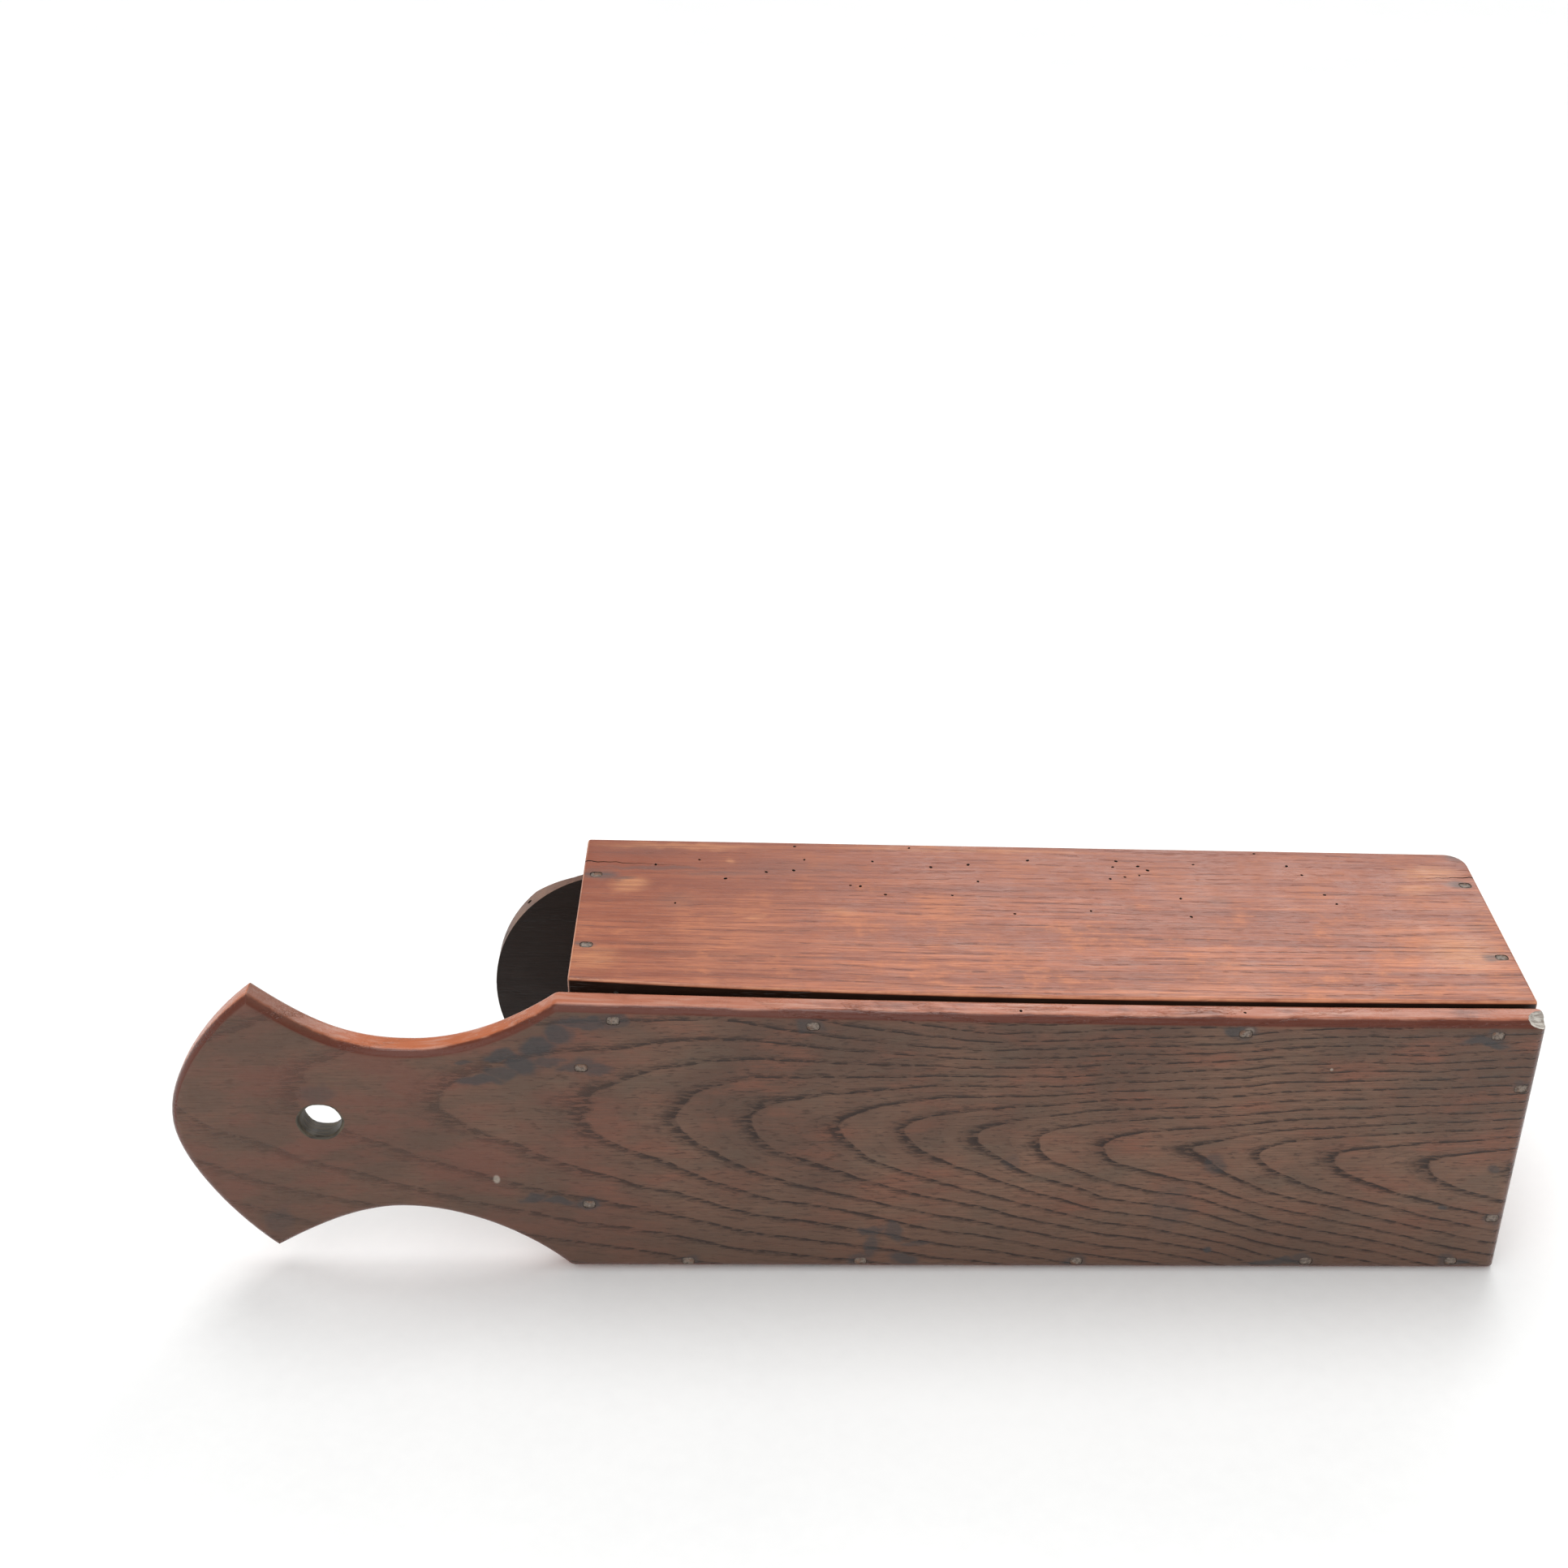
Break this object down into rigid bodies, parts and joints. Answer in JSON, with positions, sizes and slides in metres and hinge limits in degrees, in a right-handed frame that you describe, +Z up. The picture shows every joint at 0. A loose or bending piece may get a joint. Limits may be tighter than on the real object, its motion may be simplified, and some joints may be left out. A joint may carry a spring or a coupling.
{
  "type": "wooden hanging box with sliding lid",
  "caption": "Nailed wooden kitchen or dairy box with a fishtail hanging handle, tapered sides and a bevelled sliding lid with a half-round thumb end, lying on its side.",
  "frame": {"origin": "bottom centre of the bounding box, on the surface that the lower side lies on", "axes": "+X along the length, from the fishtail handle to the foot; +Y from the wall face of the back board to the lid; +Z up, from the lower side to the upper side"},
  "size_m": [0.4582, 0.1042, 0.118],
  "materials": {
    "back_board_wood": "old dark hardwood with open pores, dull face and polished edges",
    "upper_side_wood": "reddish brown straight-grained wood with a worn satin finish",
    "lower_side_wood": "reddish brown straight-grained wood, worn satin",
    "end_board_wood": "reddish brown wood, worn satin",
    "lid_wood": "dark brown wood, dull, almost black on its inner face",
    "nail_iron": "dark rusted iron"
  },
  "bodies": {
    "case": {"back_board": "back_board_wood", "upper_side": "upper_side_wood", "lower_side": "lower_side_wood", "handle_end": "end_board_wood", "foot_end": "end_board_wood", "nail_back_to_upper_side_1": "nail_iron", "nail_back_to_upper_side_2": "nail_iron", "nail_back_to_upper_side_3": "nail_iron", "nail_back_to_upper_side_4": "nail_iron", "nail_back_to_lower_side_1": "nail_iron", "nail_back_to_lower_side_2": "nail_iron", "nail_back_to_lower_side_3": "nail_iron", "nail_back_to_lower_side_4": "nail_iron", "nail_back_to_lower_side_5": "nail_iron", "nail_back_to_handle_end_1": "nail_iron", "nail_back_to_handle_end_2": "nail_iron", "nail_upper_side_to_handle_end_1": "nail_iron", "nail_upper_side_to_handle_end_2": "nail_iron", "nail_lower_side_to_handle_end_1": "nail_iron", "nail_lower_side_to_handle_end_2": "nail_iron", "nail_back_to_foot_end_1": "nail_iron", "nail_back_to_foot_end_2": "nail_iron", "nail_upper_side_to_foot_end_1": "nail_iron", "nail_upper_side_to_foot_end_2": "nail_iron", "nail_lower_side_to_foot_end_1": "nail_iron", "nail_lower_side_to_foot_end_2": "nail_iron"},
    "lid": {"sliding_lid": "lid_wood"}
  },
  "joints": [
    {"name": "lid_slide", "type": "slide", "parent": "case", "child": "lid", "axis": [-1, 0, 0], "range_m": [0, 0.3]}
  ]
}
